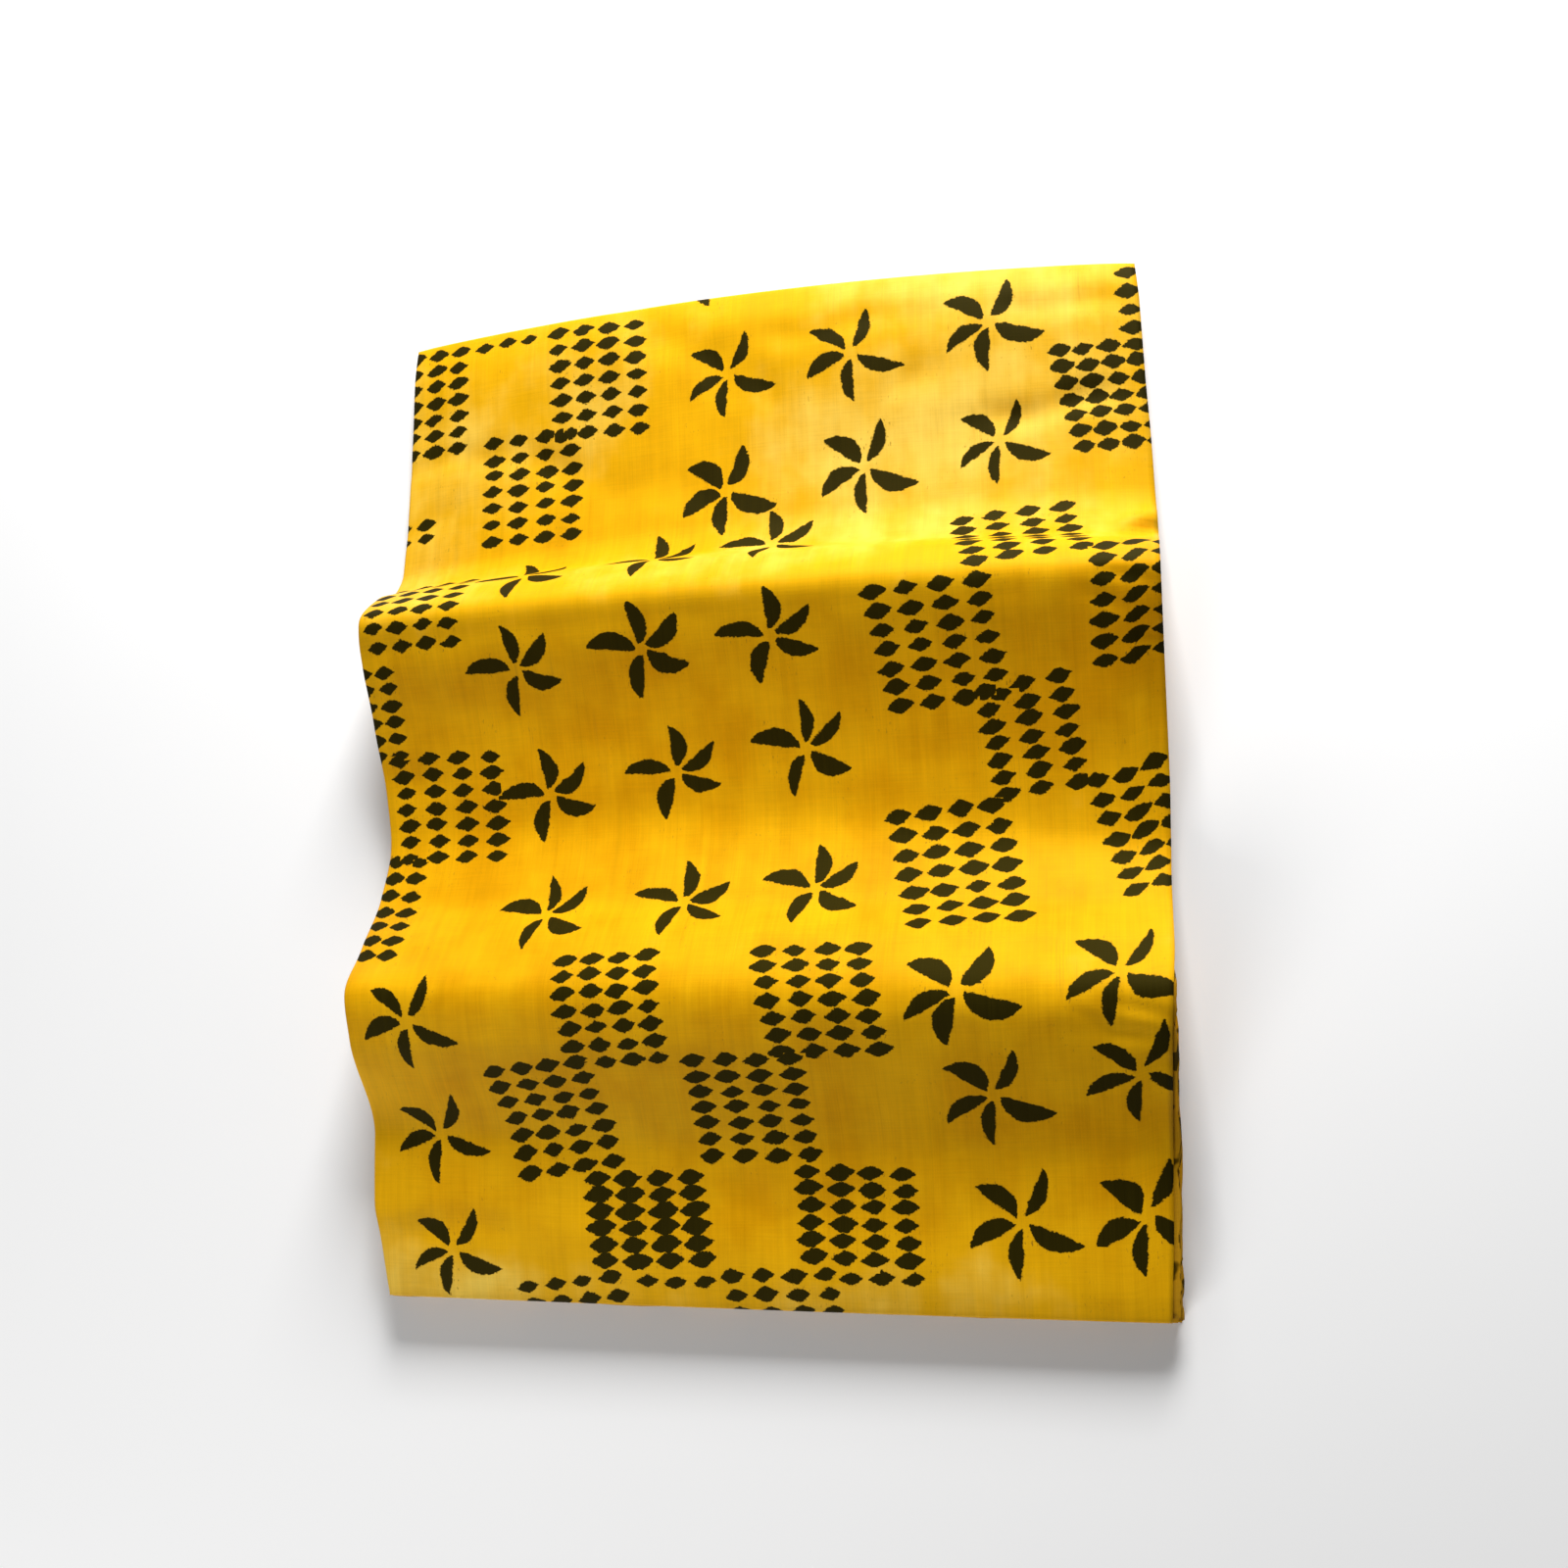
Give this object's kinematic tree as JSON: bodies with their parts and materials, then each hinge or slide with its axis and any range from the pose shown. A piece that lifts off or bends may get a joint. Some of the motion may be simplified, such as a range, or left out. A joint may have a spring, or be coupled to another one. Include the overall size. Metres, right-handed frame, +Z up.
{
  "type": "folded length of stamped cotton cloth, ankara fabric",
  "caption": "Folded length of yellow cotton cloth with black stamped flowers and diamond blocks, lying flat with soft ridges across it.",
  "frame": {"origin": "on the surface that the cloth lies on, under the middle of its box", "axes": "+X to the cloth's right, the side with the woven edges; +Y to its far end, the back fold; +Z up"},
  "size_m": [0.5876, 0.7499, 0.0922],
  "materials": {
    "stamped_cotton": "lustrous yellow cotton with black hand stamps",
    "inner_cotton": "the same cotton in the shade of the folds"
  },
  "bodies": {
    "root": {"top_leaf": "stamped_cotton", "under_leaf": "stamped_cotton", "hidden_layers": "inner_cotton"}
  },
  "joints": []
}
